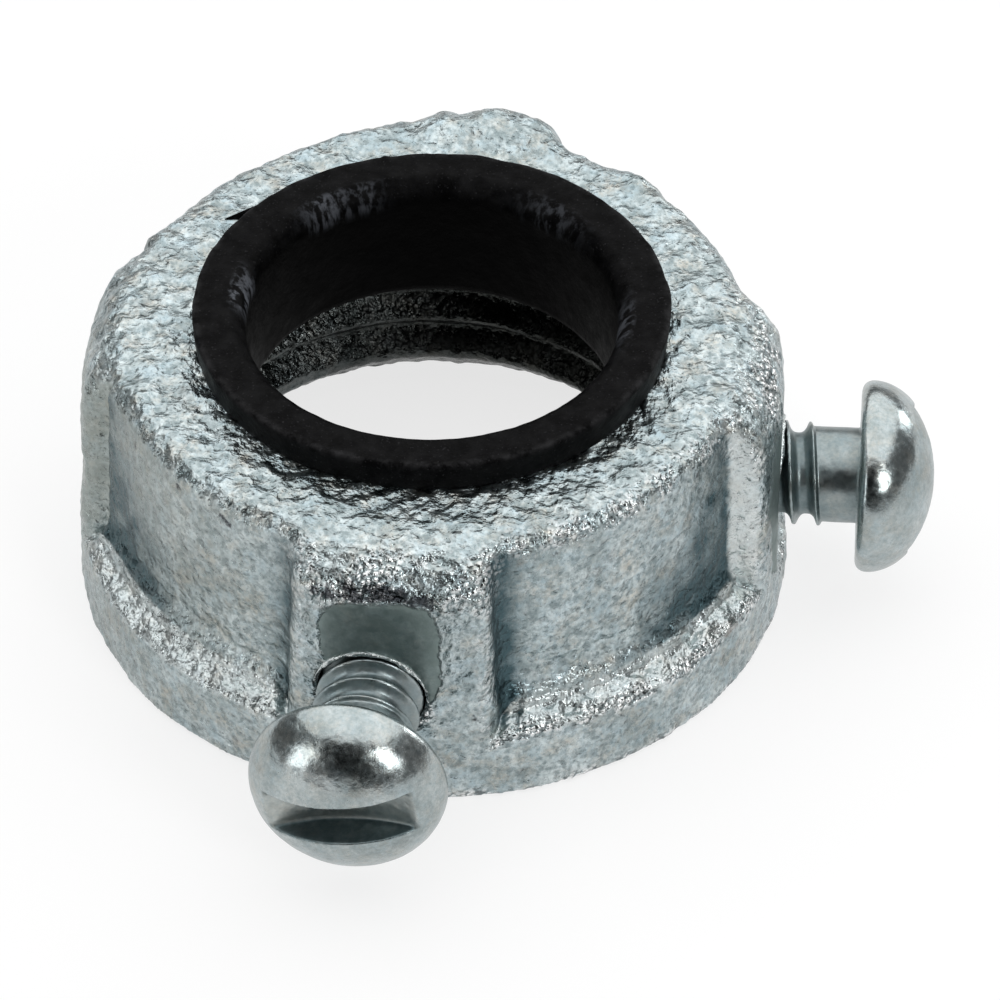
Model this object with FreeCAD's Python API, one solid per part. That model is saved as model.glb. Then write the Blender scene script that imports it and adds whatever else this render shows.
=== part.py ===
import FreeCAD, Part
import math
import os

# Half-inch bonding bushing: an iron casting that screws onto a conduit's end, a plastic throat that
# guards the wires, and two slotted screws. Millimetres, +Z up, the bore's axis on Z, the base on z 0.
# The four bosses stand on the X and Y axes.

# Casting: base flange, bosses and top
flange_radius = 14.35
base_edge_radius = 0.2
casting_height = 11.95
boss_width = 8.45
boss_draft_deg = 1.6
boss_side_draft_deg = 2.0
shoulder_radius = 2.4
cast_edge_radius = 0.85

# Casting: the panels recessed between the bosses, and the ledge under each
panel_depth = 1.35
panel_draft_deg = 1.3
panel_corner_radius = 0.8
ledge_height = 2.95
ledge_slope_deg = 5.0

# Casting: the tapped conduit bore at its crests, and the hole that holds the throat
conduit_bore_radius = 9.55
conduit_entry_radius = 11.6
conduit_entry_depth = 2.05
throat_hole_radius = 8.35
throat_seat_height = 8.15

# Insulating throat: a flange on top, a sleeve in the casting, a snap bead under its seat
throat_flange_radius = 9.43
throat_flange_thickness = 1.29
throat_flange_edge_radius = 0.3
throat_bore_radius = 7.35
lead_in_width = 0.62
lead_in_depth = 1.0
throat_clearance = 0.05
snap_bead_reach = 0.3
snap_bead_length = 0.5
bead_room = 0.3
conduit_stop_gap = 0.15

# Screws: number 8 slotted round heads, a quarter inch long under the head
screw_height = 5.2
thread_radius = 2.08
neck_radius = 1.91
neck_length = 1.7
neck_fillet_radius = 0.35
shank_length = 6.35
tip_chamfer = 0.4
head_radius = 3.85
head_height = 3.1
head_rim_radius = 0.45
slot_width = 1.8
slot_depth = 1.5
slot_saw_radius = 8.7
thread_clearance = 0.05
hole_mouth_chamfer = 0.15
spot_face_distance = 14.0

# Screw places: angle about the bore, how far the head stands off, the slot's turn, the spot face
set_screw_angle_deg = -93.0
set_screw_gap = 4.1
set_screw_slot_turn_deg = 9.0
set_screw_spot_radius = 5.2
bonding_screw_angle_deg = 2.5
bonding_screw_gap = 3.12
bonding_screw_slot_turn_deg = 50.0
bonding_screw_spot_radius = 4.0

# How far a cutting tool runs past what it cuts, and how finely a corner's radius may be eased
overrun = 4.0
radius_ease = 0.01

ORIGIN = FreeCAD.Vector(0, 0, 0)
ACROSS = FreeCAD.Vector(1, 0, 0)
UP = FreeCAD.Vector(0, 0, 1)


def slope(degrees):
    return math.tan(math.radians(degrees))


def line(start, end):
    return Part.LineSegment(start, end).toShape()


def arc(start, middle, end):
    return Part.Arc(start, middle, end).toShape()


def profile_point(radius, height):
    """A point of a profile that turns about the bore: its distance from the axis and its height."""
    return FreeCAD.Vector(radius, 0, height)


def on_circle(centre, radius, degrees):
    """The point on a circle in the profile's plane, at an angle up from level."""
    angle = math.radians(degrees)
    return centre + FreeCAD.Vector(radius * math.cos(angle), 0, radius * math.sin(angle))


def corner(centre, radius, start_deg, end_deg):
    """A rounded corner of a profile, as an arc about its centre."""
    middle_deg = (start_deg + end_deg) / 2
    return arc(*[on_circle(centre, radius, angle) for angle in (start_deg, middle_deg, end_deg)])


def turned(edges, axis):
    """The solid that a closed half profile makes when it turns about an axis."""
    return Part.Face(Part.Wire(edges)).revolve(ORIGIN, axis, 360)


def turned_polygon(points):
    return turned([line(a, b) for a, b in zip(points, points[1:] + points[:1])], UP)


def boss_blank():
    """The casting's round blank: drafted sides, a rounded shoulder and a flat top."""

    def arc_centre(height, radius):
        side = flange_radius - height * slope(boss_draft_deg)
        return profile_point(side - radius / math.cos(math.radians(boss_draft_deg)), height)

    foot = arc_centre(base_edge_radius, base_edge_radius)
    shoulder = arc_centre(casting_height - shoulder_radius, shoulder_radius)
    foot_end = on_circle(foot, base_edge_radius, boss_draft_deg)
    shoulder_start = on_circle(shoulder, shoulder_radius, boss_draft_deg)
    top_middle = profile_point(0, casting_height)
    blank = turned([
        line(ORIGIN, on_circle(foot, base_edge_radius, -90)),
        corner(foot, base_edge_radius, -90, boss_draft_deg),
        line(foot_end, shoulder_start),
        corner(shoulder, shoulder_radius, boss_draft_deg, 90),
        line(on_circle(shoulder, shoulder_radius, 90), top_middle),
        line(top_middle, ORIGIN),
    ], UP)
    # The blank's seam is turned to the boss on -X, which has no screw.
    blank.rotate(ORIGIN, UP, 180)
    return blank


def middle_of(edge):
    return edge.valueAt((edge.FirstParameter + edge.LastParameter) / 2)


def upright_edges(shape, nearest, farthest):
    """The edges that stand up off the ledge, at a range of distances from the bore's axis."""
    tall = (casting_height - shoulder_radius - ledge_height) / 2
    found = []
    for edge in shape.Edges:
        middle = middle_of(edge)
        off_boss_middle = min(abs(middle.x), abs(middle.y)) > boss_width / 4
        if nearest < math.hypot(middle.x, middle.y) < farthest and off_boss_middle:
            if edge.BoundBox.ZLength > tall:
                found.append(edge)
    return found


def panel_radius(height):
    """The distance of a panel's drafted face from the bore's axis."""
    return flange_radius - panel_depth - height * slope(panel_draft_deg)


def wedge_outline(height):
    """The space between the bosses on +X and +Y in plan, at a height."""
    near = boss_width / 2 - height * slope(boss_side_draft_deg)
    far = flange_radius + overrun
    return Part.makePolygon([FreeCAD.Vector(x, y, height) for x, y in (
        (near, near), (far, near), (far, far), (near, far), (near, near))])


def panel_recesses():
    """Cutting tools for the four panels: drafted wedges that leave the barrel and the ledge standing."""
    top = casting_height + overrun
    wedge = Part.makeLoft([wedge_outline(0), wedge_outline(top)], True, True)
    outer = (flange_radius + overrun) * math.sqrt(2) + overrun
    ledge_edge = ledge_height - (outer - panel_radius(ledge_height)) * slope(ledge_slope_deg)
    core = turned_polygon([
        profile_point(0, -overrun),
        profile_point(outer, -overrun),
        profile_point(outer, ledge_edge),
        profile_point(panel_radius(ledge_height), ledge_height),
        profile_point(panel_radius(top + overrun), top + overrun),
        profile_point(0, top + overrun),
    ])
    core.rotate(ORIGIN, UP, 180)
    recess = wedge.cut(core)
    inner_corners = upright_edges(recess, 0, flange_radius - panel_depth / 2)
    recess = recess.makeFillet(panel_corner_radius, inner_corners)
    tools = []
    for quarter in range(4):
        tool = recess.copy()
        tool.rotate(ORIGIN, UP, quarter * 90)
        tools.append(tool)
    return tools


def round_corners(casting):
    """Rounds the bosses' outer corners and, leading on from them, the panels' upper rims.
    A radius that cannot be rolled all the way round is eased by a hair."""
    corners = upright_edges(casting, flange_radius - panel_depth / 2, flange_radius)
    for ease in range(5):
        try:
            rounded = casting.makeFillet(cast_edge_radius * (1 - ease * radius_ease), corners)
        except Part.OCCError:
            continue
        if rounded.isValid():
            return rounded
    raise ValueError("the corner radius does not fit the bosses")


def throat_bottom():
    return throat_seat_height - throat_clearance - snap_bead_length


def conduit_bore():
    """The tool for the tapped bore with its wide mouth, the stop for the conduit's end just short of
    the plastic, the snap bead's room and the throat's hole."""
    stop_height = throat_bottom() - conduit_stop_gap
    room_radius = throat_hole_radius + snap_bead_reach + bead_room
    return turned_polygon([
        profile_point(0, 0),
        profile_point(conduit_entry_radius, 0),
        profile_point(conduit_bore_radius, conduit_entry_depth),
        profile_point(conduit_bore_radius, stop_height),
        profile_point(room_radius, stop_height),
        profile_point(room_radius, throat_seat_height),
        profile_point(throat_hole_radius, throat_seat_height),
        profile_point(throat_hole_radius, casting_height),
        profile_point(0, casting_height),
    ])


def screw_placed(shape, distance, angle_deg, turn_deg):
    """Puts a shape made about the X axis on a screw's axis, at a distance from the bore's axis."""
    shape.rotate(ORIGIN, ACROSS, turn_deg)
    shape.translate(FreeCAD.Vector(distance, 0, screw_height))
    shape.rotate(ORIGIN, UP, angle_deg)
    return shape


def screw_hole(angle_deg, spot_radius):
    """The tool for a screw's spot face, its hole through the wall and the hole's chamfered mouth."""
    hole_radius = thread_radius + thread_clearance
    hole = Part.makeCylinder(hole_radius, spot_face_distance, ORIGIN, -ACROSS)
    mouth_radius = hole_radius + hole_mouth_chamfer
    mouth = Part.makeCone(mouth_radius, hole_radius, hole_mouth_chamfer, ORIGIN, -ACROSS)
    spot_face = Part.makeCylinder(spot_radius, overrun, ORIGIN, ACROSS)
    tool = hole.fuse([mouth, spot_face])
    return screw_placed(tool, spot_face_distance, angle_deg, 0)


def bushing_body():
    casting = round_corners(boss_blank().cut(panel_recesses()))
    return casting.cut([
        conduit_bore(),
        screw_hole(set_screw_angle_deg, set_screw_spot_radius),
        screw_hole(bonding_screw_angle_deg, bonding_screw_spot_radius),
    ])


def insulating_throat():
    sleeve_radius = throat_hole_radius - throat_clearance
    bead_top = throat_seat_height - throat_clearance
    bead_bottom = throat_bottom()
    bead_radius = sleeve_radius + snap_bead_reach
    top = casting_height + throat_flange_thickness
    mouth_radius = throat_bore_radius + lead_in_width
    edge_centre = profile_point(throat_flange_radius - throat_flange_edge_radius, top - throat_flange_edge_radius)
    # The lead-in is an arc that runs smoothly into the bore and breaks at the flat top.
    lead_in_radius = (lead_in_width ** 2 + lead_in_depth ** 2) / (2 * lead_in_width)
    lead_in_centre = profile_point(throat_bore_radius + lead_in_radius, top - lead_in_depth)
    lead_in_turn_deg = math.degrees(math.asin(lead_in_depth / lead_in_radius))
    outside = [
        profile_point(throat_bore_radius, top - lead_in_depth),
        profile_point(throat_bore_radius, bead_bottom),
        profile_point(sleeve_radius, bead_bottom),
        profile_point(bead_radius, bead_bottom + snap_bead_reach),
        profile_point(bead_radius, bead_top),
        profile_point(sleeve_radius, bead_top),
        profile_point(sleeve_radius, casting_height),
        profile_point(throat_flange_radius, casting_height),
        profile_point(throat_flange_radius, top - throat_flange_edge_radius),
    ]
    edges = [line(a, b) for a, b in zip(outside, outside[1:])]
    edges.append(corner(edge_centre, throat_flange_edge_radius, 0, 90))
    edges.append(line(on_circle(edge_centre, throat_flange_edge_radius, 90), profile_point(mouth_radius, top)))
    edges.append(corner(lead_in_centre, lead_in_radius, 180 - lead_in_turn_deg, 180))
    return turned(edges, UP)


def slotted_screw(gap, angle_deg, turn_deg):
    """A round-head screw, made along X with the head's underside at x 0, then put in its place."""

    def point(along, radius):
        return FreeCAD.Vector(along, 0, radius)

    step = thread_radius - neck_radius
    rim_centre = point(head_rim_radius, head_radius - head_rim_radius)
    fillet_centre = point(-neck_fillet_radius, neck_radius + neck_fillet_radius)
    shank = [
        point(head_height, 0),
        point(-shank_length, 0),
        point(-shank_length, thread_radius - tip_chamfer),
        point(tip_chamfer - shank_length, thread_radius),
        point(-neck_length - step, thread_radius),
        point(-neck_length, neck_radius),
        point(-neck_fillet_radius, neck_radius),
    ]
    edges = [line(a, b) for a, b in zip(shank, shank[1:])]
    edges.append(corner(fillet_centre, neck_fillet_radius, -90, 0))
    edges.append(line(point(0, neck_radius + neck_fillet_radius), point(0, head_radius - head_rim_radius)))
    edges.append(corner(rim_centre, head_rim_radius, 180, 90))
    # A quarter ellipse from the rim to the crown, as a cubic curve.
    roundness = (math.sqrt(2) - 1) * 4 / 3
    dome = Part.BezierCurve()
    dome.setPoles([
        point(head_rim_radius, head_radius),
        point(head_rim_radius + (head_height - head_rim_radius) * roundness, head_radius),
        point(head_height, head_radius * roundness),
        point(head_height, 0),
    ])
    edges.append(dome.toShape())
    # The slot is sawn with a round cutter, so its floor rises towards both ends.
    saw_centre = FreeCAD.Vector(head_height - slot_depth + slot_saw_radius, 0, -slot_width / 2)
    slot = Part.makeCylinder(slot_saw_radius, slot_width, saw_centre, UP)
    screw = turned(edges, ACROSS).cut(slot)
    return screw_placed(screw, spot_face_distance + gap, angle_deg, turn_deg)


pieces = {
    "bushing_body": bushing_body(),
    "insulating_throat": insulating_throat(),
    "set_screw": slotted_screw(set_screw_gap, set_screw_angle_deg, set_screw_slot_turn_deg),
    "bonding_screw": slotted_screw(bonding_screw_gap, bonding_screw_angle_deg, bonding_screw_slot_turn_deg),
}

os.makedirs("parts", exist_ok=True)
for name, piece in pieces.items():
    solid = piece.Solids[0]
    print(name, "valid", solid.isValid(), "solids", len(piece.Solids), "volume", round(solid.Volume, 1))
    solid.exportStep("parts/" + name + ".step")
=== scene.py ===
import bmesh
import bpy
import math
from mathutils import Matrix, Vector, noise


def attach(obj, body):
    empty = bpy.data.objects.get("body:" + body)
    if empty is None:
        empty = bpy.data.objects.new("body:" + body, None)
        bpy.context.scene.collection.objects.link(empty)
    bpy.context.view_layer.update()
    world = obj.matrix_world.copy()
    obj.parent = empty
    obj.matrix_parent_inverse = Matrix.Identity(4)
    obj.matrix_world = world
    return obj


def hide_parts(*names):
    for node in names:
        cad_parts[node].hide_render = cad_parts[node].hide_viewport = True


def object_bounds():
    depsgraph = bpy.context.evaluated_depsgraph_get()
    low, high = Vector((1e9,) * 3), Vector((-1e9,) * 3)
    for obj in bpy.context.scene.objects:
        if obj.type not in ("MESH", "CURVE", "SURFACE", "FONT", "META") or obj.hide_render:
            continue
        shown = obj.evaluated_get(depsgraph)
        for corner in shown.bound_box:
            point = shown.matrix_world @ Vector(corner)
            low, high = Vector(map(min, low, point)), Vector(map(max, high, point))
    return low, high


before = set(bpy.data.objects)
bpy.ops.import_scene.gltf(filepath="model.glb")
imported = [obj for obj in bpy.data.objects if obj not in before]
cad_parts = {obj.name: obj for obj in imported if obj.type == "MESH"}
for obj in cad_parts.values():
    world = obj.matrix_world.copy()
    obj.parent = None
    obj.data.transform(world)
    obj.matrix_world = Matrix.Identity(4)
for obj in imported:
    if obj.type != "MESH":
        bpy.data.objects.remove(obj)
cad_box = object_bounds()

# The view. The bushing is seen from above at an angle, from far off with a long lens, so that it
# keeps nearly parallel edges. The bonding screw points to the right, the set screw to the viewer.
view_turn = math.radians(6.5)
view_rise = math.radians(42.794)
view_distance = 0.245137
view_right = 0.002697
view_up = 0.002022
back = Vector((0, -math.cos(view_rise), math.sin(view_rise)))
right = Vector((1, 0, 0))
up = back.cross(right)
eye = back * view_distance + right * view_right + up * view_up
turn = Matrix.Rotation(view_turn, 4, "Z")
stand = turn @ Matrix.Translation(eye) @ Matrix((right, up, back)).transposed().to_4x4()
camera = bpy.data.objects.new("camera", bpy.data.cameras.new("camera"))
camera.data.sensor_width = 36
camera.data.lens = 216
camera.data.clip_start = 0.01
camera.matrix_world = stand
bpy.context.scene.collection.objects.link(camera)
bpy.context.scene.camera = camera
bpy.context.scene.view_settings.view_transform = "Standard"

# The table and the light. A white sheet lies under the part. A broad soft box hangs over it, small
# ones stand low on both sides and behind on the right, and the room round them is dim.
sheet_white = (0.25, 0.25, 0.25, 1)
sheet_lift = 0.76
sheet_lift_in_mirrors = 0.62
room_strength = 0.16
room_strength_at_viewer = 0.0
sheet_half_width = 1.5
sheet_gap = 0.00002
soft_box_distance = 0.6
# Each soft box: its turn to the viewer's right and its rise in degrees, its width and height in metres,
# and its power in watts.
soft_boxes = (
    ("soft_box_above", 180, 70, 1.35, 1.4, 7.7),
    ("soft_box_left", -56, 18, 0.22, 0.28, 0.5),
    ("soft_box_right", 38, 31, 0.18, 0.22, 0.9),
    ("soft_box_back", 128, 14, 0.14, 0.16, 0.4),
)


def feed(tree, socket, value):
    """Gives a socket a fixed value, or joins it to another socket."""
    if isinstance(value, bpy.types.NodeSocket):
        tree.links.new(value, socket)
    else:
        socket.default_value = value


def maths(tree, operation, first, second=0.0, third=0.0):
    step = tree.nodes.new("ShaderNodeMath")
    step.operation = operation
    for socket, value in zip(step.inputs, (first, second, third)):
        feed(tree, socket, value)
    return step.outputs[0]


def spread(tree, value, low, high, to_low=0.0, to_high=1.0):
    """A value stretched from one range to another and kept inside it."""
    stretch = tree.nodes.new("ShaderNodeMapRange")
    feed(tree, stretch.inputs["Value"], value)
    stretch.inputs["From Min"].default_value = low
    stretch.inputs["From Max"].default_value = high
    stretch.inputs["To Min"].default_value = to_low
    stretch.inputs["To Max"].default_value = to_high
    return stretch.outputs["Result"]


sheet = bmesh.new()
bmesh.ops.create_grid(sheet, x_segments=1, y_segments=1, size=sheet_half_width)
floor_mesh = bpy.data.meshes.new("floor")
sheet.to_mesh(floor_mesh)
sheet.free()
floor = bpy.data.objects.new("floor", floor_mesh)
floor.location.z = cad_box[0][2] - sheet_gap
bpy.context.scene.collection.objects.link(floor)

paper = bpy.data.materials.new("white_sheet")
paper.use_nodes = True
tree = paper.node_tree
tree.nodes.clear()
sheet_out = tree.nodes.new("ShaderNodeOutputMaterial")
matt = tree.nodes.new("ShaderNodeBsdfDiffuse")
matt.inputs["Color"].default_value = sheet_white
glow = tree.nodes.new("ShaderNodeEmission")
path = tree.nodes.new("ShaderNodeLightPath")
seen = maths(tree, "MAXIMUM", path.outputs["Is Camera Ray"], path.outputs["Is Transmission Ray"])
lift = maths(tree, "MULTIPLY", seen, sheet_lift)
mirrored = maths(tree, "MULTIPLY", path.outputs["Is Glossy Ray"], sheet_lift_in_mirrors)
feed(tree, glow.inputs["Strength"], maths(tree, "MAXIMUM", lift, mirrored))
both = tree.nodes.new("ShaderNodeAddShader")
feed(tree, both.inputs[0], matt.outputs[0])
feed(tree, both.inputs[1], glow.outputs[0])
feed(tree, sheet_out.inputs["Surface"], both.outputs[0])
floor_mesh.materials.append(paper)


def add_soft_box(name, turn_deg, rise_deg, width, height, power):
    """A soft box that looks at the part from a turn to the viewer's right and a rise."""
    lamp = bpy.data.objects.new(name, bpy.data.lights.new(name, "AREA"))
    lamp.data.shape = "RECTANGLE"
    lamp.data.size = width
    lamp.data.size_y = height
    lamp.data.energy = power
    rise = math.radians(rise_deg)
    side = math.radians(turn_deg) + view_turn
    way = Vector((math.sin(side) * math.cos(rise), -math.cos(side) * math.cos(rise), math.sin(rise)))
    lamp.location = way * soft_box_distance
    lamp.rotation_euler = way.to_track_quat("Z", "Y").to_euler()
    bpy.context.scene.collection.objects.link(lamp)


for box in soft_boxes:
    add_soft_box(*box)

room = bpy.data.worlds.new("room")
bpy.context.scene.world = room
room.use_nodes = True
tree = room.node_tree
tree.nodes.clear()
room_out = tree.nodes.new("ShaderNodeOutputWorld")
room_light = tree.nodes.new("ShaderNodeBackground")
way = tree.nodes.new("ShaderNodeTexCoord")
facing = tree.nodes.new("ShaderNodeVectorMath")
facing.operation = "DOT_PRODUCT"
facing.inputs[1].default_value = (turn @ back)[:3]
feed(tree, facing.inputs[0], way.outputs["Generated"])
dimming = spread(tree, facing.outputs["Value"], 0.35, 0.95, room_strength, room_strength_at_viewer)
feed(tree, room_light.inputs["Strength"], dimming)
feed(tree, room_out.inputs["Surface"], room_light.outputs[0])

# The casting. Malleable iron poured in sand, with four bosses, panels sunk between them and a ledge
# round its foot, then zinc plated. It is tapped for the conduit, and two bosses are spot faced and
# drilled for the screws. Its skin keeps the grain of the sand.
set_screw_angle = -93.0
bonding_screw_angle = 2.5
screw_height = 5.2
spot_face_distance = 14.0
hole_radius = 2.13
head_reach = 4.1
conduit_bore = 9.55
casting_top = 11.95
flange_radius = 14.35
boss_half_width = 4.225
boss_side_slope = 0.035
ledge_height = 2.95
ledge_rim_rise = 0.4
ledge_root_rise = 0.55
panel_depth = 1.35
left_boss_run_out = 0.35
left_boss_wear = 0.22
right_shoulder_wear = 0.25
thread_pitch = 1.814
thread_depth = 0.9
thread_bottom = 2.05
thread_top = 7.45
burr_thickness = 0.12
burr_steps = 90
burr_sides = 8
most_relief_under_head = 0.02
casting_grain = 0.145
casting_kept_share = 0.64
# Each screw's angle, then its smooth spot: half width, half height, and how far the spot's middle lies
# beside and above the hole.
screw_spots = (
    (set_screw_angle, 2.3, 2.6, 0.4, 2.3),
    (bonding_screw_angle, 3.6, 3.5, 0.0, 0.4),
)
# Lumps left by the gate on the back boss and its neighbours: angle and width in degrees, and lift.
gate_lumps = (
    (95, 4, 0.55),
    (86, 5.5, 0.95),
    (78, 5, 0.65),
    (108, 10, 0.3),
    (54, 5, 0.3),
    (125, 12, 0.15),
)


def fine_mesh(shape, grain, cutter=None):
    """A shape as one closed skin of small even faces, after a cutter, if any, has taken its slot."""
    coarse = bpy.data.meshes.new("coarse")
    shape.to_mesh(coarse)
    shape.free()
    work = bpy.data.objects.new("work", coarse)
    bpy.context.scene.collection.objects.link(work)
    if cutter:
        cut = work.modifiers.new("slot", "BOOLEAN")
        cut.object = cutter
        cut.solver = "EXACT"
    even = work.modifiers.new("even", "REMESH")
    even.mode = "VOXEL"
    even.voxel_size = grain
    fine = bpy.data.meshes.new_from_object(work.evaluated_get(bpy.context.evaluated_depsgraph_get()))
    bpy.data.objects.remove(work)
    bpy.data.meshes.remove(coarse)
    skin = bmesh.new()
    skin.from_mesh(fine)
    bpy.data.meshes.remove(fine)
    return skin


def smooth(skin, rounds):
    for _ in range(rounds):
        bmesh.ops.smooth_vert(
            skin, verts=skin.verts, factor=0.5, use_axis_x=True, use_axis_y=True, use_axis_z=True)


def stand_out(skin, rounds):
    """How far each point stands out from a worn-down copy of the skin: positive on outer edges."""
    worn = skin.copy()
    smooth(worn, rounds)
    skin.normal_update()
    heights = [(a.co - b.co).dot(a.normal) for a, b in zip(skin.verts, worn.verts)]
    worn.free()
    return heights


def finished_piece(name, skin, material, masks, kept_share=1, untouched=()):
    """A piece made from a skin in millimetres, with its masks kept for the material to read. Its
    flattest faces are joined until a share of them is left, but for those of untouched points."""
    bmesh.ops.scale(skin, vec=(0.001, 0.001, 0.001), verts=skin.verts)
    mesh = bpy.data.meshes.new(name)
    skin.to_mesh(mesh)
    skin.free()
    for mask, values in masks.items():
        mesh.attributes.new(mask, "FLOAT", "POINT").data.foreach_set("value", values)
    piece = bpy.data.objects.new(name, mesh)
    bpy.context.scene.collection.objects.link(piece)
    if kept_share < 1:
        fewer = piece.modifiers.new("fewer", "DECIMATE")
        fewer.ratio = kept_share
        piece.vertex_groups.new(name="untouched").add(untouched, 1, "REPLACE")
        fewer.vertex_group = "untouched"
        fewer.invert_vertex_group = True
        graph = bpy.context.evaluated_depsgraph_get()
        ready = piece.evaluated_get(graph)
        lighter = bpy.data.meshes.new_from_object(ready, preserve_all_data_layers=True, depsgraph=graph)
        piece.modifiers.clear()
        piece.data = lighter
        bpy.data.meshes.remove(mesh)
    piece.data.shade_smooth()
    piece.data.materials.append(material)
    return piece


def ramp(value, low, high):
    """A smooth step from 0 to 1."""
    t = min(max((value - low) / (high - low), 0), 1)
    return t * t * (3 - 2 * t)


def hump(value, middle, width):
    """A bell that is 1 at its middle."""
    return math.exp(-((value - middle) / width) ** 2)


def turn_from(angle, middle):
    """The signed difference of two angles in degrees."""
    return (angle - middle + 180) % 360 - 180


def sand_relief(place, upward):
    """The cast skin's height: broad unevenness, and rounded ripples on faces that look up."""
    walls = 0.06 * noise.noise(place * 0.45) + 0.04 * noise.noise(place * 1.1)
    walls += 0.06 * noise.noise(place * 2.2)
    ripples = 0.08 * noise.noise(place * 1.1) + 0.09 * noise.noise(place * 2.3)
    return walls * (1 - 0.3 * upward) + ripples * upward


def panel_corner_shade(place, normal, reach, outward):
    """How much painted shade a place in a panel's corner gets. The shade is narrow beside the bosses of
    the set screw's axis, and beside the other two it widens downwards and runs on along the panel's
    foot."""
    boss_side = boss_half_width - place.z * boss_side_slope
    beside = min(abs(place.x), abs(place.y)) - boss_side
    sunken = ramp(flange_radius - 0.3 - reach, 0, 0.7) * ramp(beside, -0.4, 0)
    low = ramp(casting_top - 1.2 - place.z, 0, 7)
    if abs(place.y) < abs(place.x):
        corner = 1.8 * hump(max(beside, 0), 0, 2.1 + 3 * low) * ramp(normal.dot(outward), 0.86, 0.97)
        corner *= 0.6 + 0.4 * low
    else:
        corner = (1.0 + 0.7 * ramp(place.x, -1, 1)) * hump(max(beside, 0), 0, 0.75)
    foot = 0.7 * hump(place.z, ledge_height + 0.3, 0.8) * hump(max(abs(place.y) - boss_side, 0), 0, 5)
    patchy = 0.9 + 0.5 * noise.noise(place * 0.9)
    return sunken * max(corner, foot) * patchy * (1 - ramp(normal.z, 0.25, 0.7))


def ledge_rise(place, reach, outward):
    """How the ledge rises from its rim to its root, where it runs into the panel."""
    beside = min(abs(place.x), abs(place.y)) - boss_half_width + place.z * boss_side_slope
    inward = flange_radius - reach
    height = (min(max(place.z, 0), ledge_height) / ledge_height) ** 2
    height *= 1 - ramp(place.z, ledge_height, ledge_height + 3)
    rise = (ledge_rim_rise + ledge_root_rise * min(max(inward / panel_depth, 0), 1)) * height
    root = 0.3 * hump(place.z, ledge_height + 0.1, 0.6) * ramp(inward, 0.9, 1.3)
    return (Vector((0, 0, rise)) + outward * root) * ramp(beside, -0.2, 0.5)


def add_burr(skin, screw_angle, start_deg, end_deg):
    """The ragged lip that the drill raised round the upper half of a hole. Gives its points."""
    axis = Vector((math.cos(math.radians(screw_angle)), math.sin(math.radians(screw_angle)), 0))
    across = Vector((-axis.y, axis.x, 0))
    rings = []
    for step in range(burr_steps + 1):
        share = step / burr_steps
        turn = math.radians(start_deg + (end_deg - start_deg) * share)
        spoke = across * math.cos(turn) + Vector((0, 0, math.sin(turn)))
        ends = ramp(0.5 - abs(share - 0.5), 0, 0.2)
        thick = burr_thickness * (0.8 + 0.9 * noise.noise(spoke * 3.5)) * ends
        middle = axis * spot_face_distance + Vector((0, 0, screw_height)) + spoke * (hole_radius + 0.15)
        ring = []
        for corner in range(burr_sides):
            lean = 2 * math.pi * corner / burr_sides
            edge = spoke * math.cos(lean) + axis * math.sin(lean)
            ring.append(skin.verts.new(middle + edge * (0.01 + thick)))
        rings.append(ring)
    for near, far in zip(rings, rings[1:]):
        for corner in range(burr_sides):
            skin.faces.new((near[corner - 1], near[corner], far[corner], far[corner - 1]))
    skin.faces.new(rings[0])
    skin.faces.new(rings[-1])
    bmesh.ops.recalc_face_normals(skin, faces=skin.faces)
    return [vert for ring in rings for vert in ring]


def screw_marks(place, normal):
    """What the drilling for the screws left at a place: its distance from the middle of a smooth spot,
    as a share of the spot's size, and whether it is in or at a hole, under a head or near a spot."""
    nearest_spot = 3
    in_hole = False
    at_hole = False
    under_head = False
    near_spot = False
    for screw_angle, spot_width, spot_height, spot_side, spot_up in screw_spots:
        axis = Vector((math.cos(math.radians(screw_angle)), math.sin(math.radians(screw_angle)), 0))
        along = place.dot(axis)
        side = place.dot(Vector((-axis.y, axis.x, 0)))
        rise = place.z - screw_height
        off = math.hypot(side, rise)
        if along > conduit_bore - 1 and off < hole_radius + 0.15:
            in_hole = along < spot_face_distance - 0.25
            at_hole = True
        if along > spot_face_distance - 0.6 and off < head_reach:
            under_head = True
        if along > spot_face_distance - 0.6 and off < spot_height + spot_up + 0.4:
            near_spot = True
        if along > spot_face_distance - 1:
            spot = (abs(side - spot_side) / spot_width) ** 4 + (abs(rise - spot_up) / spot_height) ** 4
            spot = spot ** 0.25 + 0.1 * noise.noise(place * 0.9) + 0.05 * noise.noise(place * 2.5)
            nearest_spot = min(nearest_spot, spot + 2 * ramp(0.95 - normal.dot(axis), 0, 0.2))
    return nearest_spot, in_hole, at_hole, under_head, near_spot


def bore_move(place, normal, outward, angle):
    """How the bore's wall differs from a plain one: rough skin, the tapped thread, an uneven foot."""
    move = normal * 0.06 * noise.noise(place * 2.2)
    if thread_bottom < place.z < thread_top:
        phase = (place.z / thread_pitch - angle / 360) % 1
        ends = ramp(place.z, thread_bottom, thread_bottom + 0.8)
        ends *= ramp(thread_top - place.z, 0.2, 0.8)
        move += outward * thread_depth * (1 - abs(2 * phase - 1)) * ends
    move += Vector((0, 0, 1)) * 0.22 * noise.noise(place * 1.3) * ramp(1.0 - place.z, 0, 0.8)
    return move


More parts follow.
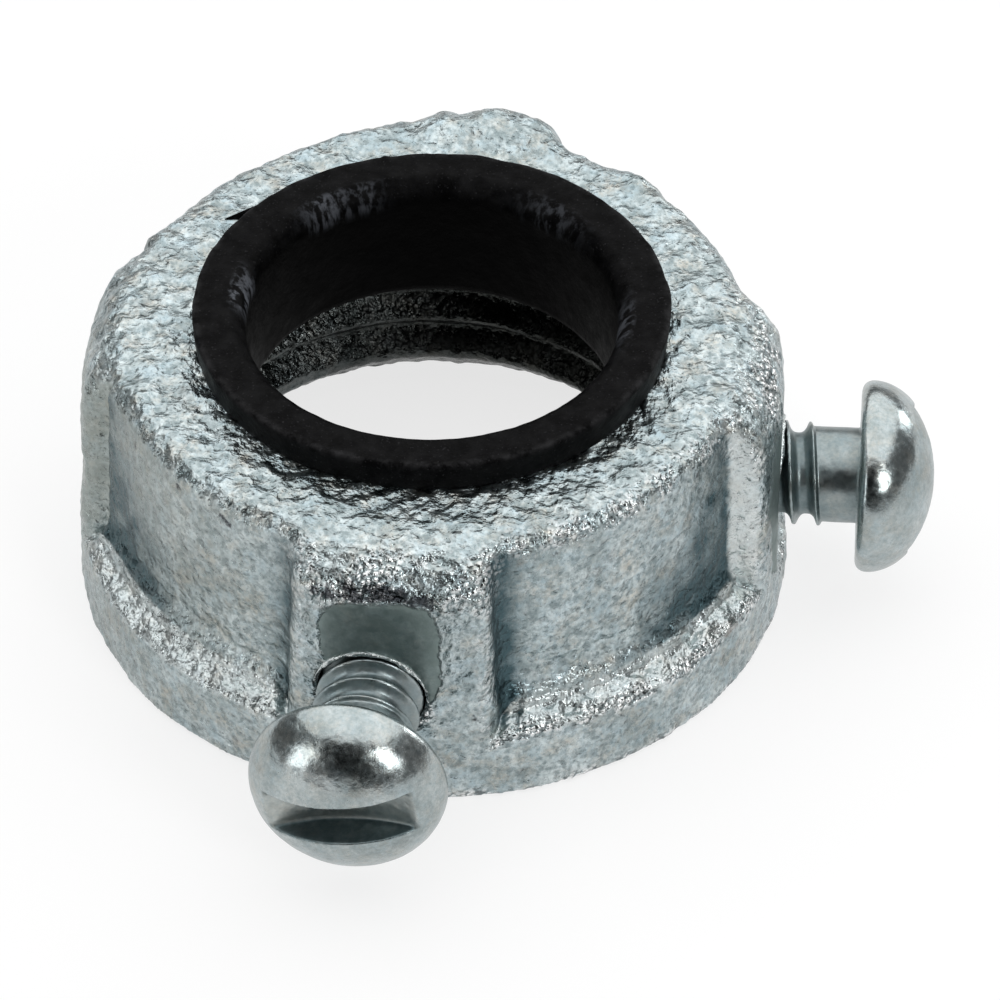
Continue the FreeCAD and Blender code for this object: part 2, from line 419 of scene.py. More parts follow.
def form_move(place, reach, outward, angle, beside):
    """How the cast form differs from the plain one: gate lumps, worn bosses, and a risen ledge."""
    high = ramp(place.z, 7.5, 11.0) * ramp(reach, 10.8, 12.2)
    lump = sum(lift * hump(turn_from(angle, middle), 0, width) for middle, width, lift in gate_lumps)
    move = (outward * 0.7 + Vector((0, 0, 0.72))) * lump * high
    left = hump(turn_from(angle, 180), 0, 14) * ramp(reach, 12.6, 13.4) * ramp(place.z, 2, 7)
    move -= outward * left_boss_wear * left
    run_out = hump(max(beside, 0), 0, 1.1) * ramp(beside, -0.2, 0.3)
    run_out *= ramp(-place.x - abs(place.y), 0, 1)
    move += outward * left_boss_run_out * run_out * ramp(flange_radius - 0.3 - reach, 0, 0.7)
    shoulder = hump(turn_from(angle, 0), 0, 15) * ramp(place.z, 8, 11) * ramp(reach, 11.5, 13)
    move -= (outward + Vector((0, 0, 0.6))) * right_shoulder_wear * shoulder
    return move + ledge_rise(place, reach, outward)


casting = bmesh.new()
casting.from_mesh(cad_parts["bushing_body"].data)
bmesh.ops.remove_doubles(casting, verts=casting.verts, dist=0.000001)
bmesh.ops.scale(casting, vec=(1000, 1000, 1000), verts=casting.verts)
casting = fine_mesh(casting, casting_grain)
smooth(casting, 2)
edges = [ramp(height, 0.003, 0.05) for height in stand_out(casting, 12)]

# What the material reads at each point, the points whose faces stay small, and each point's move.
spots = []
corner_shades = []
painted_light = []
rim_dark_and_painted_reflection = []
bore_grime_and_shade = []
upwards = []
left_side_shade = []
untouched = []
moves = []
for vert in casting.verts:
    place = vert.co
    normal = vert.normal
    reach = math.hypot(place.x, place.y)
    outward = Vector((place.x / reach, place.y / reach, 0))
    angle = math.degrees(math.atan2(place.y, place.x))
    beside = min(abs(place.x), abs(place.y)) - boss_half_width
    inner = reach < conduit_bore + 2.2 and place.z < casting_top - 0.3 and normal.dot(outward) < 0.3
    nearest_spot, in_hole, at_hole, under_head, near_spot = screw_marks(place, normal)
    if near_spot:
        untouched.append(vert.index)
    smoothness = ramp(1.06 - nearest_spot, 0, 0.1)
    upward = ramp(normal.z, 0.2, 0.75)
    shoulder = max(hump(turn_from(angle, -92), 0, 17), hump(turn_from(angle, 0), 0, 17))
    shoulder *= hump(place.z, 10.7, 0.9) * ramp(reach, 12.3, 13) * (1 - smoothness)
    on_ledge = upward * ramp(6 - place.z, 0, 1)
    glitter = 0.06 + 0.94 * ramp(75 - abs(turn_from(angle, -42)), 0, 20)

    move = Vector()
    if inner and not in_hole:
        move = bore_move(place, normal, outward, angle)
    elif not in_hole:
        rough = 0.2 if normal.z < -0.6 or at_hole else 1 - 0.9 * smoothness
        relief = sand_relief(place, upward) * rough
        move = normal * (min(relief, most_relief_under_head) if under_head else relief)
        front_shoulder = shoulder * (0.4 + 0.6 * hump(turn_from(angle, -92), 0, 18))
        lumpy = 0.3 * noise.noise(place * 1.4) + 0.14 * noise.noise(place * 2.9)
        lumpy *= max(front_shoulder, (0.3 + 0.4 * glitter) * on_ledge)
        move += normal * lumpy
        move += form_move(place, reach, outward, angle, beside)
    moves.append(move)

    flank = ramp(0.9 - normal.dot(outward), 0, 0.15) * ramp(beside, -0.8, -0.2) * (1 - upward)
    flank *= ramp(place.x - abs(place.y), 0, 1) * ramp(flange_radius - reach, 0.1, 0.5)
    under_rim = hump(place.z, 10.9, 0.35) * ramp(13.6 - reach, 0, 0.4) * (1 - upward)
    under_rim_dark = 0.45 * under_rim * ramp(noise.noise(place * 0.55), 0.05, 0.3)
    over_spot = hump(turn_from(angle, -91), 0, 10) * hump(place.z, 10.4, 0.6) * ramp(reach, 12.3, 13)
    # Painted light: the bore's wall on this side is kept lighter.
    lit_side = hump(turn_from(angle, 150), 0, 35)
    left_wall = hump(turn_from(angle, -165), 0, 42) * (1 - upward)
    edges[vert.index] = max(edges[vert.index], shoulder) * glitter
    spots.append(nearest_spot)
    # Painted shade in the panels' corners and along their foot.
    corner_shades.append(panel_corner_shade(place, normal, reach, outward))
    # Painted light on the flanks of the bonding screw's boss and on the ledge.
    painted_light.append(0 if inner else max(flank, 0.65 * on_ledge))
    # Darker patches under the rim, and a painted dark reflection on the shoulder over the set screw's
    # spot face.
    rim_dark_and_painted_reflection.append(max(under_rim_dark, 0.95 * over_spot * (1 - smoothness)))
    # Grime and painted shade in the bore and the screw holes, less on the bore's lit side.
    bore_grime_and_shade.append(1.0 - 0.2 * lit_side if inner or in_hole else 0.0)
    upwards.append(upward)
    # Painted shade on the walls that face left, weaker at the foot.
    left_side_shade.append(left_wall * (0.5 + 0.5 * ramp(place.z, 2.5, 4)))
for vert, move in zip(casting.verts, moves):
    vert.co += move
burr = add_burr(casting, set_screw_angle, 15, 165) + add_burr(casting, bonding_screw_angle, 30, 140)
for mask in (edges, corner_shades, bore_grime_and_shade, upwards, left_side_shade, rim_dark_and_painted_reflection):
    mask.extend([0] * len(burr))
spots.extend([3] * len(burr))
# The burrs are coloured pale, as a painted highlight on the drill's lip.
painted_light.extend([1] * len(burr))


def mix_colour(tree, factor, first, second):
    mix = tree.nodes.new("ShaderNodeMix")
    mix.data_type = "RGBA"
    feed(tree, mix.inputs[0], factor)
    feed(tree, mix.inputs[6], first)
    feed(tree, mix.inputs[7], second)
    return mix.outputs[2]


def place_in_mm(tree):
    where = tree.nodes.new("ShaderNodeTexCoord")
    size = tree.nodes.new("ShaderNodeVectorMath")
    size.operation = "SCALE"
    size.inputs["Scale"].default_value = 1000
    feed(tree, size.inputs[0], where.outputs["Object"])
    return size.outputs[0]


def cloud(tree, place, per_mm, detail, roughness):
    """A noise over the surface, about 0.5 on average."""
    texture = tree.nodes.new("ShaderNodeTexNoise")
    feed(tree, texture.inputs["Vector"], place)
    texture.inputs["Scale"].default_value = per_mm
    texture.inputs["Detail"].default_value = detail
    texture.inputs["Roughness"].default_value = roughness
    return texture.outputs["Fac"]


def mask_value(tree, name):
    mask = tree.nodes.new("ShaderNodeAttribute")
    mask.attribute_name = name
    return mask.outputs["Fac"]


def zinc_group():
    """Zinc plating as it changes over a surface: cloudy colour with warm and dark specks, stains,
    fine grain, round bright crystals, and painted shade in corners, grooves, low grain, ripple troughs
    and crystal creases."""
    group = bpy.data.node_groups.new("zinc_plating", "ShaderNodeTree")
    inputs = (("Grain Size", "Float"), ("Ripples", "Float"), ("Crystals", "Float"), ("Painted Shade", "Float"),
              ("Stains", "Float"), ("Tints", "Float"), ("Pits", "Float"), ("Bright", "Color"),
              ("Dull", "Color"))
    outputs = (("Colour", "Color"), ("Shine", "Float"), ("Height", "Float"))
    for name, kind in inputs:
        group.interface.new_socket(name, in_out="INPUT", socket_type="NodeSocket" + kind)
    for name, kind in outputs:
        group.interface.new_socket(name, in_out="OUTPUT", socket_type="NodeSocket" + kind)
    given = group.nodes.new("NodeGroupInput").outputs
    result = group.nodes.new("NodeGroupOutput").inputs
    place = place_in_mm(group)
    sized = group.nodes.new("ShaderNodeVectorMath")
    sized.operation = "SCALE"
    feed(group, sized.inputs[0], place)
    feed(group, sized.inputs["Scale"], given["Grain Size"])
    fine = sized.outputs[0]
    warm_tint = (0.57, 0.49, 0.38, 1)
    cool_tint = (0.46, 0.59, 0.65, 1)
    pit_colour = (0.19, 0.24, 0.25, 1)
    # Painted shade in the grain's low places.
    cavity_shade_colour = (0.17, 0.22, 0.23, 1)
    # Painted shade in the ripples' troughs.
    trough_shade_colour = (0.20, 0.25, 0.26, 1)
    rust_colour = (0.17, 0.11, 0.075, 1)
    # Painted shade for corners and grooves.
    painted_shade_colour = (0.065, 0.11, 0.125, 1)
    # Painted shade in the creases between crystals.
    crease_shade_colour = (0.16, 0.19, 0.20, 1)
    flake_colour = (0.95, 0.96, 0.96, 1)

    patches = spread(group, cloud(group, place, 0.5, 6, 0.75), 0.38, 0.62)
    colour = mix_colour(group, patches, given["Dull"], given["Bright"])
    warm = spread(group, cloud(group, place, 0.9, 6, 0.7), 0.48, 0.7)
    warm = maths(group, "MULTIPLY", warm, given["Tints"])
    colour = mix_colour(group, warm, colour, warm_tint)
    pits = spread(group, cloud(group, fine, 4.5, 3, 0.6), 0.44, 0.7, 0, 0.75)
    pits = maths(group, "MULTIPLY", pits, given["Pits"])
    colour = mix_colour(group, pits, colour, pit_colour)
    cool = spread(group, cloud(group, place, 1.2, 6, 0.75), 0.48, 0.66)
    cool = maths(group, "MULTIPLY", cool, given["Tints"])
    colour = mix_colour(group, cool, colour, cool_tint)
    grain = cloud(group, fine, 2.8, 3, 0.55)
    # Painted shade where the grain's height is low.
    grain_cavity_shade = maths(group, "MULTIPLY", spread(group, grain, 0.32, 0.5, 0.7, 0), given["Pits"])
    colour = mix_colour(group, grain_cavity_shade, colour, cavity_shade_colour)
    swell = cloud(group, fine, 2.4, 1, 0.5)
    # Painted shade in the troughs of the ripples.
    trough_shade = maths(group, "MULTIPLY", spread(group, swell, 0.3, 0.46, 0.45, 0), given["Ripples"])
    colour = mix_colour(group, trough_shade, colour, trough_shade_colour)
    stains = spread(group, cloud(group, place, 0.8, 5, 0.7), 0.56, 0.7)
    stains = maths(group, "MULTIPLY", stains, given["Stains"])
    colour = mix_colour(group, stains, colour, rust_colour)
    # Painted shade in corners and grooves, patchy.
    recess_shade_share = spread(group, cloud(group, place, 2.2, 4, 0.65), 0.35, 0.65, 1.0, 0.75)
    painted_recess_shade = maths(group, "MULTIPLY", given["Painted Shade"], recess_shade_share)
    colour = mix_colour(group, painted_recess_shade, colour, painted_shade_colour)
    cells = group.nodes.new("ShaderNodeTexVoronoi")
    feed(group, cells.inputs["Vector"], fine)
    cells.inputs["Scale"].default_value = 4.6
    from_middle = cells.outputs["Distance"]
    flakes = maths(group, "MULTIPLY", spread(group, from_middle, 0.4, 0.58, 1, 0), given["Crystals"])
    # Painted shade in the creases between crystals.
    crease_shade = maths(group, "MULTIPLY", spread(group, from_middle, 0.5, 0.7, 0, 0.8), given["Crystals"])
    colour = mix_colour(group, crease_shade, colour, crease_shade_colour)
    colour = mix_colour(group, flakes, colour, flake_colour)
    feed(group, result["Colour"], colour)
    bowls = maths(group, "MULTIPLY", from_middle, from_middle)
    crystals = maths(group, "MULTIPLY", bowls, given["Crystals"])
    waves = maths(group, "MULTIPLY", maths(group, "MULTIPLY", swell, 0.6), given["Ripples"])
    raised = maths(group, "SUBTRACT", waves, crystals)
    feed(group, result["Height"], maths(group, "MULTIPLY_ADD", grain, 0.8, raised))
    feed(group, result["Shine"], grain)
    return group


zinc_plating = zinc_group()


def plating_on(tree, bright, dull):
    plating = tree.nodes.new("ShaderNodeGroup")
    plating.node_tree = zinc_plating
    plating.inputs["Grain Size"].default_value = 1
    plating.inputs["Bright"].default_value = bright
    plating.inputs["Dull"].default_value = dull
    return plating


def bumped(tree, surface, height, strength, distance):
    bump = tree.nodes.new("ShaderNodeBump")
    bump.inputs["Strength"].default_value = strength
    bump.inputs["Distance"].default_value = distance
    feed(tree, bump.inputs["Height"], height)
    feed(tree, surface.inputs["Normal"], bump.outputs["Normal"])


def casting_material():
    material = bpy.data.materials.new("casting_zinc")
    material.use_nodes = True
    tree = material.node_tree
    surface = tree.nodes["Principled BSDF"]
    surface.inputs["Metallic"].default_value = 1
    bright_zinc = (0.72, 0.80, 0.81, 1)
    dull_zinc = (0.38, 0.45, 0.46, 1)
    # Painted shade on the walls that face left.
    left_shade_colour = (0.27, 0.29, 0.26, 1)
    bare_iron = (0.24, 0.30, 0.29, 1)
    # Painted light on the boss's flank, the ledge and the burrs.
    painted_light_colour = (0.80, 0.84, 0.83, 1)
    # Darker patches under the rim and a painted dark reflection over the set screw's spot face.
    rim_dark_and_reflection_colour = (0.032, 0.034, 0.042, 1)
    # Grime and painted shade in the bore.
    bore_grime_and_shade_colour = (0.024, 0.024, 0.021, 1)
    edge = mask_value(tree, "edge")
    inner = mask_value(tree, "inner")
    ragged = maths(tree, "MULTIPLY_ADD", cloud(tree, place_in_mm(tree), 4, 4, 0.6), 0.1, -0.05)
    smooth_spot = spread(tree, maths(tree, "ADD", mask_value(tree, "spot"), ragged), 0.99, 1.03, 1, 0)
    plating = plating_on(tree, bright_zinc, dull_zinc)
    groups = spread(tree, cloud(tree, place_in_mm(tree), 0.7, 2, 0.5), 0.42, 0.52, 0.1, 1)
    plating.inputs["Tints"].default_value = 0.6
    plating.inputs["Pits"].default_value = 1
    feed(tree, plating.inputs["Ripples"], spread(tree, mask_value(tree, "upward"), 0, 1, 0.7, 1))
    crystals = maths(tree, "MULTIPLY", edge, groups)
    feed(tree, plating.inputs["Crystals"], maths(tree, "MULTIPLY_ADD", inner, 0.2, crystals))
    # Painted shade in the panels' corners.
    painted_shade = mask_value(tree, "painted_shade")
    feed(tree, plating.inputs["Painted Shade"], painted_shade)
    stains = maths(tree, "MULTIPLY_ADD", edge, 0.5, 0.25)
    feed(tree, plating.inputs["Stains"], stains)
    # Painted shade on the walls that face left, less of it where the corner shade lies.
    thin = maths(tree, "MULTIPLY", mask_value(tree, "left_side_shade"), spread(tree, painted_shade, 0, 1, 0.65, 0.1))
    colour = mix_colour(tree, thin, plating.outputs["Colour"], left_shade_colour)
    bare_share = spread(tree, cloud(tree, place_in_mm(tree), 1.6, 5, 0.7), 0.4, 0.65, 0.95, 0.7)
    bare = maths(tree, "MULTIPLY", smooth_spot, bare_share)
    colour = mix_colour(tree, bare, colour, bare_iron)
    # Painted light on the boss's flank, the ledge and the burrs.
    painted_light_share = maths(tree, "MULTIPLY", mask_value(tree, "painted_light"), 0.6)
    colour = mix_colour(tree, painted_light_share, colour, painted_light_colour)
    # Darker patches under the rim and a painted dark reflection over the set screw's spot face, broken
    # up by noise.
    broken = maths(tree, "MULTIPLY_ADD", cloud(tree, place_in_mm(tree), 1.4, 5, 0.65), 3.0, -1.5)
    rim_dark_and_reflection = spread(tree, maths(tree, "ADD", mask_value(tree, "rim_dark_and_painted_reflection"), broken), 0.5, 0.75, 0, 0.9)
    colour = mix_colour(tree, rim_dark_and_reflection, colour, rim_dark_and_reflection_colour)
    # Grime and painted shade in the bore.
    bore_grime_and_shade_share = maths(tree, "MULTIPLY", inner, 0.95)
    feed(tree, surface.inputs["Base Color"], mix_colour(tree, bore_grime_and_shade_share, colour, bore_grime_and_shade_colour))
    shine = spread(tree, plating.outputs["Shine"], 0.3, 0.7, 0.22, 0.36)
    shine = maths(tree, "MULTIPLY_ADD", crystals, -0.1, shine)
    feed(tree, surface.inputs["Roughness"], maths(tree, "MULTIPLY_ADD", smooth_spot, 0.2, shine))
    raw = maths(tree, "MULTIPLY_ADD", smooth_spot, -0.9, 1)
    bumped(tree, surface, maths(tree, "MULTIPLY", plating.outputs["Height"], raw), 0.9, 0.0002)
    return material


bushing_casting = finished_piece("bushing_casting", casting, casting_material(), {
    "edge": edges, "painted_shade": corner_shades, "spot": spots, "inner": bore_grime_and_shade, "upward": upwards,
    "left_side_shade": left_side_shade, "painted_light": painted_light, "rim_dark_and_painted_reflection": rim_dark_and_painted_reflection}, casting_kept_share, untouched)
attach(bushing_casting, "bushing")
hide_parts("bushing_body")

# The throat. A black plastic ring that snaps into the casting and guards the wires' covering. It was
# moulded in one shot, with a lead-in round its mouth, and a sliver of flash is left at its edge.
throat_bore = 7.35
throat_bottom = 7.6
throat_sleeve = 8.3
snap_bead = 0.3
snap_bead_top = 8.1
throat_seat = casting_top
throat_seat_overlap = 0.02
throat_top = 13.24
throat_edge = 9.43
throat_edge_round = 0.16
lead_in_width = 0.62
lead_in_depth = 1.0
flash_root = Vector((-7.2, 5.73, 12.65))
flash_tip = Vector((-9.06, 5.5, 12.15))
nick_angle = 108.5
parting_angle = -173.0
# Scuffed places on the lead-in, painted lighter where glints stand: angle, width in degrees, strength.
scuff_and_glint_places = ((180, 5, 1.0), (172, 3, 0.6), (131, 7, 0.7), (118, 5, 0.4), (57, 10, 0.3), (0, 9, 0.45))


def turned_shape(profile, axis, steps):
    """The closed skin that a profile makes when it goes once round an axis."""
    skin = bmesh.new()
    points = [skin.verts.new(point) for point in profile]
    lines = [skin.edges.new(pair) for pair in zip(points, points[1:] + points[:1])]
    bmesh.ops.spin(
        skin, geom=points + lines, cent=(0, 0, 0), axis=axis, angle=2 * math.pi, steps=steps,
        use_merge=True)
    bmesh.ops.remove_doubles(skin, verts=skin.verts, dist=0.0001)
    bmesh.ops.recalc_face_normals(skin, faces=skin.faces)
    return skin


def quarter(centre, radii, start_deg, end_deg, count):
    """Points along an elliptic corner of a profile: distance from the axis and height."""
    points = []
    for step in range(count + 1):
        angle = math.radians(start_deg + (end_deg - start_deg) * step / count)
        points.append((centre[0] + radii[0] * math.cos(angle), centre[1] + radii[1] * math.sin(angle)))
    return points


def dense(profile, spacing):
    """A closed profile with points added so that none are further apart than a spacing."""
    points = []
    for start, end in zip(profile, profile[1:] + profile[:1]):
        count = max(1, math.ceil(math.dist(start, end) / spacing))
        for step in range(count):
            share = step / count
            across = start[0] + (end[0] - start[0]) * share
            points.append((across, start[1] + (end[1] - start[1]) * share))
    return points


lead_in_radius = (lead_in_width ** 2 + lead_in_depth ** 2) / (2 * lead_in_width)
lead_in_turn = math.degrees(math.asin(lead_in_depth / lead_in_radius))
throat_profile = [
    (throat_bore, throat_bottom + 0.15),
    (throat_bore + 0.15, throat_bottom),
    (throat_sleeve, throat_bottom),
    (throat_sleeve + snap_bead, throat_bottom + snap_bead),
    (throat_sleeve + snap_bead, snap_bead_top),
    (throat_sleeve, snap_bead_top),
    (throat_sleeve, throat_seat - throat_seat_overlap),
    (throat_edge - 0.1, throat_seat - throat_seat_overlap),
]
throat_profile += quarter(
    (throat_edge - throat_edge_round, throat_top - throat_edge_round),
    (throat_edge_round, throat_edge_round), 0, 90, 5)
throat_profile += quarter(
    (throat_bore + lead_in_radius, throat_top - lead_in_depth), (lead_in_radius, lead_in_radius),
    180 - lead_in_turn, 180, 10)
throat = turned_shape([(r, 0, z) for r, z in dense(throat_profile, 0.18)], (0, 0, 1), 400)
for vert in throat.verts:
    place = vert.co
    angle = math.degrees(math.atan2(place.y, place.x))
    reach = math.hypot(place.x, place.y)
    on_flange = ramp(place.z, throat_seat, throat_seat + 0.3)
    rim = ramp(reach, throat_edge - 0.6, throat_edge - 0.1) * on_flange
    relief = 0.02 * noise.noise(place * 1.1) + 0.012 * noise.noise(place * 3.1)
    relief += rim * 0.05 * noise.noise(place * 0.9)
    relief += rim * 0.09 * hump(turn_from(angle, nick_angle), 0, 0.8)
    relief -= 0.03 * hump(turn_from(angle, parting_angle), 0, 0.4) * on_flange
    vert.co += vert.normal * relief
flash_run = flash_tip - flash_root
flash = bmesh.ops.create_cone(
    throat, cap_ends=True, segments=10, radius1=0.5, radius2=0.04, depth=flash_run.length)["verts"]
lie = flash_run.to_track_quat("Z", "Y").to_matrix().to_4x4()
bmesh.ops.scale(throat, vec=(0.5, 1, 1), verts=flash)
bmesh.ops.transform(throat, matrix=Matrix.Translation((flash_root + flash_tip) / 2) @ lie, verts=flash)
scuffs_and_glints = []
shaded = []
rim_wear_and_highlight = []
for vert in throat.verts:
    angle = math.degrees(math.atan2(vert.co.y, vert.co.x))
    reach = math.hypot(vert.co.x, vert.co.y)
    mouth = ramp(vert.co.z, throat_top - 1.3, throat_top - 0.8)
    mouth *= ramp(throat_bore + 0.75 - reach, 0, 0.25)
    rubbed = sum(mark * hump(turn_from(angle, middle), 0, width) for middle, width, mark in scuff_and_glint_places)
    # Scuffs, painted lighter where glints stand.
    scuffs_and_glints.append(mouth * rubbed)
    shaded.append(ramp(throat_top - vert.co.z, 0.3, 1.1) * ramp(throat_edge - reach, 0.2, 0.5))
    # Wear and a painted highlight along the flange's outer top edge.
    rim_wear_and_highlight.append(hump(reach, throat_edge - 0.08, 0.12) * hump(vert.co.z, throat_top - 0.05, 0.14))


def throat_material():
    material = bpy.data.materials.new("black_plastic")
    material.use_nodes = True
    tree = material.node_tree
    surface = tree.nodes["Principled BSDF"]
    surface.inputs["Specular IOR Level"].default_value = 0.03
    place = place_in_mm(tree)
    dust = spread(tree, cloud(tree, place, 1.2, 6, 0.7), 0.4, 0.75)
    colour = mix_colour(tree, dust, (0.002, 0.002, 0.0022, 1), (0.012, 0.012, 0.0125, 1))
    specks = spread(tree, cloud(tree, place, 9, 1, 0.5), 0.66, 0.74, 0, 0.6)
    colour = mix_colour(tree, specks, colour, (0.03, 0.03, 0.032, 1))
    drawn = tree.nodes.new("ShaderNodeVectorMath")
    drawn.operation = "MULTIPLY"
    drawn.inputs[1].default_value = (1, 1, 0.25)
    feed(tree, drawn.inputs[0], place)
    streaks = spread(tree, cloud(tree, drawn.outputs[0], 3, 3, 0.6), 0.45, 0.6)
    # Wear and a painted highlight on the outer top edge.
    rim = maths(tree, "MULTIPLY", mask_value(tree, "rim_wear_and_highlight"), dust)
    colour = mix_colour(tree, rim, colour, (0.04, 0.04, 0.042, 1))
    colour = mix_colour(tree, mask_value(tree, "shaded"), colour, (0.0008, 0.0008, 0.0008, 1))
    # Scuffs painted lighter, standing in for glints.
    scuff_and_glint = maths(tree, "MULTIPLY", mask_value(tree, "scuff_and_glint"), streaks)
    colour = mix_colour(tree, scuff_and_glint, colour, (0.13, 0.14, 0.16, 1))
    feed(tree, surface.inputs["Base Color"], colour)
    feed(tree, surface.inputs["Roughness"], spread(tree, dust, 0, 1, 0.42, 0.6))
    bumped(tree, surface, cloud(tree, place, 4, 5, 0.65), 0.3, 0.0001)
    return material


throat_ring = finished_piece("throat_ring", throat, throat_material(), {
    "scuff_and_glint": scuffs_and_glints, "shaded": shaded, "rim_wear_and_highlight": rim_wear_and_highlight})
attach(throat_ring, "bushing")
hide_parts("insulating_throat")

# The screws. Zinc plated steel with a rolled thread and a slotted round head. The set screw bites on
# the conduit, and the bonding screw holds a wire. Both stand part way out of their holes. The heads
# are dished underneath, which leaves room for the holes' burrs when a screw is driven home.
set_screw_gap = 4.1
bonding_screw_gap = 3.12
head_radius = 3.85
head_height = 3.1
head_rim = 0.45
neck_radius = 1.91
neck_fillet = 0.35
head_dish = 0.22
head_dish_radius = 3.0
root_radius = 1.62
crest_radius = 2.08
shank_length = 6.35
tip_chamfer = 0.4
screw_pitch = 1.0
first_crest_angle = 60
thread_end_angle = 300
crest_share = 0.06
slot_width = 1.8
slot_depth = 1.5
slot_saw_radius = 8.7
slot_half_length = 3.0
screw_grain = 0.055
shank_row = 0.035
shank_steps = 160
shank_start = -0.1


def thread_radius(along, angle, first_crest):
    """The rolled thread: round grooves between thin crests, the last of which fades into the neck."""
    angle = (angle - thread_end_angle) % 360 + thread_end_angle - 360
    turns = (first_crest - along) / screw_pitch + (angle - first_crest_angle) / 360
    if turns < 0:
        return neck_radius + (crest_radius - neck_radius) * ramp(turns, -0.12, 0)
    share = min(max((turns % 1 - crest_share) / (1 - 2 * crest_share), 0), 1)
    groove = 1 - abs(2 * share - 1) ** 3
    radius = crest_radius - (crest_radius - root_radius) * groove
    kept = ramp(thread_end_angle - angle, 0, 100)
    kept = max(kept, ramp(turns, 0.8, 1))
    return neck_radius + (radius - neck_radius) * kept


def add_shank(skin, first_crest):
    """The neck and the rolled thread, as rings of points along the axis, closed at both ends."""
    rows = math.ceil((shank_length - shank_start) / shank_row)
    rings = []
    for row in range(rows + 1):
        along = -shank_start - (shank_length - shank_start) * row / rows
        tip = crest_radius - tip_chamfer + shank_length + along
        ring = []
        for step in range(shank_steps):
            turn = 2 * math.pi * step / shank_steps
            radius = min(tip, thread_radius(along, math.degrees(turn), first_crest))
            ring.append(skin.verts.new((along, radius * math.cos(turn), radius * math.sin(turn))))
        rings.append(ring)
    for near, far in zip(rings, rings[1:]):
        for step in range(shank_steps):
            skin.faces.new((near[step - 1], near[step], far[step], far[step - 1]))
    skin.faces.new(rings[0])
    skin.faces.new(rings[-1])
    bmesh.ops.recalc_face_normals(skin, faces=skin.faces)


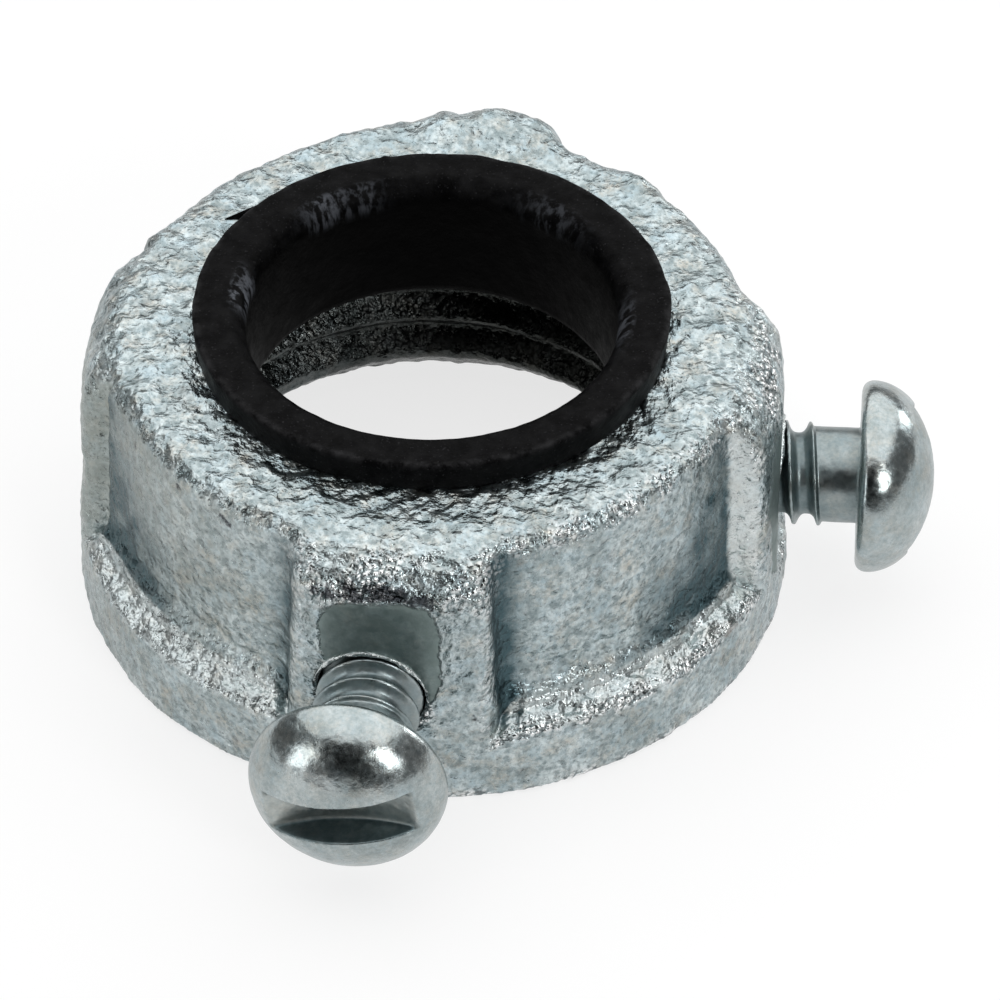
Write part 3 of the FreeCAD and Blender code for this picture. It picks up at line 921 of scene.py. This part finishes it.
def screw_piece(name, angle_deg, gap, slot_turn, first_crest, material):
    """A screw whose head stands off its spot face by a gap, with its slot turned about its axis."""
    fillet_start = head_dish - neck_fillet
    profile = [
        (-neck_fillet * 2, 0),
        (-neck_fillet * 2, neck_radius - 0.2),
        (fillet_start, neck_radius - 0.04),
    ]
    profile += quarter((fillet_start, neck_radius + neck_fillet), (neck_fillet, neck_fillet), -80, 0, 5)
    profile.append((0, head_dish_radius))
    profile += quarter((head_rim, head_radius - head_rim), (head_rim, head_rim), 180, 90, 6)
    profile += quarter((head_rim, 0), (head_height - head_rim, head_radius), 90, 0, 24)[1:]
    head = turned_shape([(along, 0, radius) for along, radius in profile], (1, 0, 0), 128)
    slot = bmesh.new()
    bmesh.ops.create_cone(
        slot, cap_ends=True, segments=200, radius1=slot_saw_radius, radius2=slot_saw_radius,
        depth=slot_width)
    bmesh.ops.translate(slot, vec=(head_height - slot_depth + slot_saw_radius, 0, 0), verts=slot.verts)
    slot_mesh = bpy.data.meshes.new("slot")
    slot.to_mesh(slot_mesh)
    slot.free()
    cutter = bpy.data.objects.new("slot", slot_mesh)
    bpy.context.scene.collection.objects.link(cutter)
    cutter.hide_render = True
    skin = fine_mesh(head, screw_grain, cutter)
    bpy.data.objects.remove(cutter)
    bpy.data.meshes.remove(slot_mesh)
    smooth(skin, 6)
    add_shank(skin, first_crest)
    skin.normal_update()
    groove_shade = []
    worn = []
    for vert in skin.verts:
        along = vert.co.x
        reach = math.hypot(vert.co.y, vert.co.z)
        slot_floor = head_height - slot_depth + slot_saw_radius
        slot_floor -= math.sqrt(slot_saw_radius ** 2 - vert.co.y ** 2)
        in_slot = ramp(slot_width / 2 + 0.1 - abs(vert.co.z), 0, 0.1)
        in_slot *= ramp(along, 0, head_height - slot_depth)
        in_slot *= ramp(slot_half_length - abs(vert.co.y), 0, 0.15)
        beside_wall = ramp(abs(vert.co.z), slot_width / 2 - 0.3, slot_width / 2 - 0.05)
        # Painted shade on the slot's walls, and on the neck and in the thread's grooves.
        depth = in_slot * max(ramp(abs(vert.normal.z), 0.2, 0.6), beside_wall) * 0.8
        if along < -shank_start and reach < crest_radius + 0.05:
            depth = 0.25 + 0.4 * min(max((crest_radius - reach) / (crest_radius - root_radius), 0), 1)
        groove_shade.append(depth)
        worn.append(in_slot * hump(along, slot_floor, 0.15) * ramp(vert.normal.x, 0.5, 0.9))
        vert.co += vert.normal * (0.02 * noise.noise(vert.co * 0.7) + 0.008 * noise.noise(vert.co * 2.5))
    place = Matrix.Rotation(math.radians(angle_deg), 4, "Z")
    place = place @ Matrix.Translation((spot_face_distance + gap, 0, screw_height))
    place = place @ Matrix.Rotation(math.radians(slot_turn), 4, "X")
    bmesh.ops.transform(skin, matrix=place, verts=skin.verts)
    return finished_piece(name, skin, material, {"painted_shade": groove_shade, "worn": worn})


def screw_material():
    material = bpy.data.materials.new("screw_zinc")
    material.use_nodes = True
    tree = material.node_tree
    surface = tree.nodes["Principled BSDF"]
    surface.inputs["Metallic"].default_value = 1
    bright_zinc = (0.54, 0.59, 0.59, 1)
    dull_zinc = (0.33, 0.38, 0.38, 1)
    dull_steel = (0.36, 0.38, 0.36, 1)
    bright_steel = (0.55, 0.55, 0.50, 1)
    plating = plating_on(tree, bright_zinc, dull_zinc)
    plating.inputs["Grain Size"].default_value = 1.5
    plating.inputs["Stains"].default_value = 0.12
    plating.inputs["Tints"].default_value = 0.3
    plating.inputs["Pits"].default_value = 0.4
    painted_shade = mask_value(tree, "painted_shade")
    worn = maths(tree, "MULTIPLY", mask_value(tree, "worn"), 0.45)
    # Painted shade in the slot and in the thread's grooves.
    feed(tree, plating.inputs["Painted Shade"], painted_shade)
    streaks = spread(tree, cloud(tree, place_in_mm(tree), 2.5, 4, 0.7), 0.4, 0.6)
    bare = mix_colour(tree, streaks, dull_steel, bright_steel)
    feed(tree, surface.inputs["Base Color"], mix_colour(tree, worn, plating.outputs["Colour"], bare))
    shine = spread(tree, plating.outputs["Shine"], 0.3, 0.7, 0.19, 0.29)
    shine = maths(tree, "MULTIPLY_ADD", painted_shade, 0.25, shine)
    feed(tree, surface.inputs["Roughness"], maths(tree, "MULTIPLY_ADD", worn, 0.2, shine))
    bumped(tree, surface, plating.outputs["Height"], 0.18, 0.00008)
    return material


screw_zinc = screw_material()
set_screw = screw_piece("set_screw_zinc", set_screw_angle, set_screw_gap, 9, -2.08, screw_zinc)
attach(set_screw, "set_screw")
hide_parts("set_screw")
bonding_screw = screw_piece(
    "bonding_screw_zinc", bonding_screw_angle, bonding_screw_gap, 50, -1.82, screw_zinc)
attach(bonding_screw, "bonding_screw")
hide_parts("bonding_screw")
